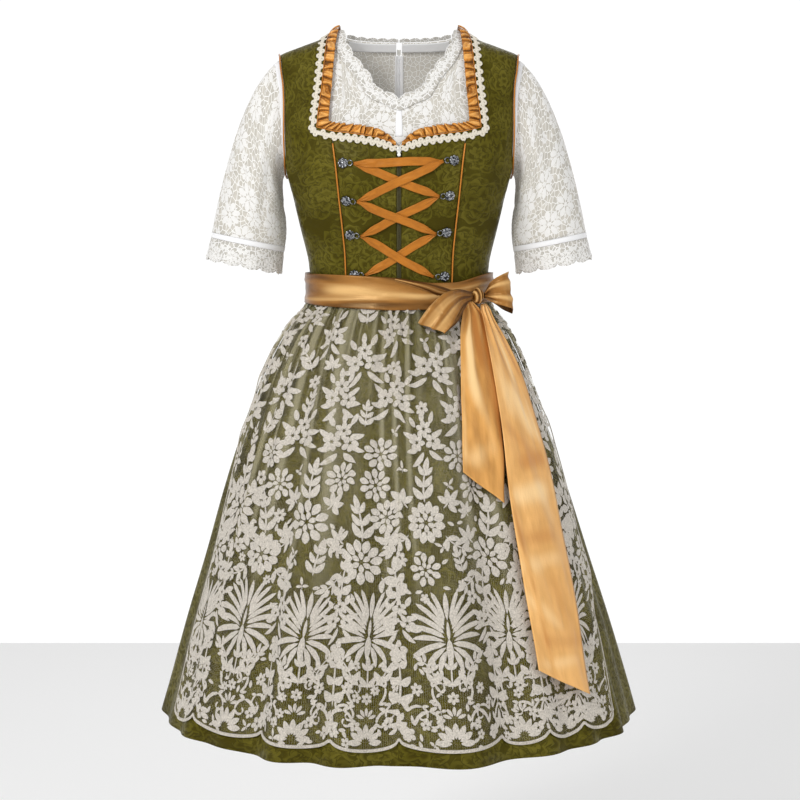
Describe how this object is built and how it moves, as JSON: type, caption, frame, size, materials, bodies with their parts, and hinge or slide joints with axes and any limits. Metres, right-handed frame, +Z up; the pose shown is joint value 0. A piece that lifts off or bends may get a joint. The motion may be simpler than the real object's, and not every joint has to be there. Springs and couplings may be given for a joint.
{
  "type": "laced dirndl dress with apron and lace blouse",
  "caption": "Knee-length laced dirndl with gathered skirt, scalloped lace apron tied in a satin bow, and short-sleeved lace blouse, worn shape.",
  "frame": {"origin": "midway between the two neck points of the shoulders, where the wearer carries the garment", "axes": "+Z up along the body, -Y towards the front with the lacing, +X towards the side with the bow"},
  "size_m": [0.7208, 0.6648, 1.0294],
  "materials": {
    "olive_jacquard": "woven tone-on-tone jacquard with a low sheen",
    "amber_satin": "amber satin",
    "cream_braid": "cream cotton braid",
    "white_lace": "white corded lace on a fine net",
    "white_cotton": "plain white cotton",
    "embroidered_tulle": "sheer tulle with silver-beige embroidery",
    "antique_silver": "antique silver",
    "white_enamel": "white enamel",
    "zip_tape": "woven zip tape with fine teeth"
  },
  "bodies": {
    "garment": {"bodice_front_centre_left": "olive_jacquard", "bodice_front_side_left": "olive_jacquard", "bodice_front_centre_right": "olive_jacquard", "bodice_front_side_right": "olive_jacquard", "bodice_back": "olive_jacquard", "skirt_front": "olive_jacquard", "skirt_back": "olive_jacquard", "princess_piping_left": "amber_satin", "armhole_piping_left": "amber_satin", "princess_piping_right": "amber_satin", "armhole_piping_right": "amber_satin", "neck_frill_left": "amber_satin", "neck_braid_left": "cream_braid", "neck_frill_right": "amber_satin", "neck_braid_right": "cream_braid", "neck_frill_back": "amber_satin", "neck_braid_back": "cream_braid", "flower_hook_left_1": "antique_silver", "flower_hook_left_2": "antique_silver", "flower_hook_left_3": "antique_silver", "flower_hook_left_4": "antique_silver", "flower_hook_right_1": "antique_silver", "flower_hook_right_2": "antique_silver", "flower_hook_right_3": "antique_silver", "flower_hook_right_4": "antique_silver", "lacing_1": "amber_satin", "lacing_2": "amber_satin", "lacing_3": "amber_satin", "lacing_4": "amber_satin", "lacing_5": "amber_satin", "lacing_6": "amber_satin", "lacing_7": "amber_satin", "front_zip": "zip_tape", "front_zip_slider": "white_enamel", "apron_panel": "embroidered_tulle", "sash_band": "amber_satin", "sash_crossing": "amber_satin", "bow_knot": "amber_satin", "bow_loop_left": "amber_satin", "bow_loop_right": "amber_satin", "bow_tail_short": "amber_satin", "bow_tail_long": "amber_satin", "blouse_front": "white_lace", "blouse_back_left": "white_lace", "blouse_back_right": "white_lace", "sleeve_left": "white_lace", "cuff_band_left": "white_cotton", "cuff_lace_left": "white_lace", "sleeve_right": "white_lace", "cuff_band_right": "white_cotton", "cuff_lace_right": "white_lace", "neck_lace_front": "white_lace", "neck_lace_back_left": "white_lace", "neck_lace_back_right": "white_lace", "neck_band_back_left": "white_cotton", "neck_band_back_right": "white_cotton", "blouse_zip": "white_cotton", "blouse_zip_slider": "white_enamel"},
    "front_zip_tab": {"front_zip_pull": "white_enamel"},
    "blouse_zip_tab": {"blouse_zip_pull": "white_enamel"}
  },
  "joints": [
    {"name": "front_zip_tab_swing", "type": "hinge", "parent": "garment", "child": "front_zip_tab", "pos_m": [0, -0.13164, -0.1844], "axis": [-1, 0, 0], "range_deg": [0, 150]},
    {"name": "blouse_zip_tab_swing", "type": "hinge", "parent": "garment", "child": "blouse_zip_tab", "pos_m": [0, 0.07308, -0.02936], "axis": [1, 0, 0], "range_deg": [0, 150]}
  ]
}
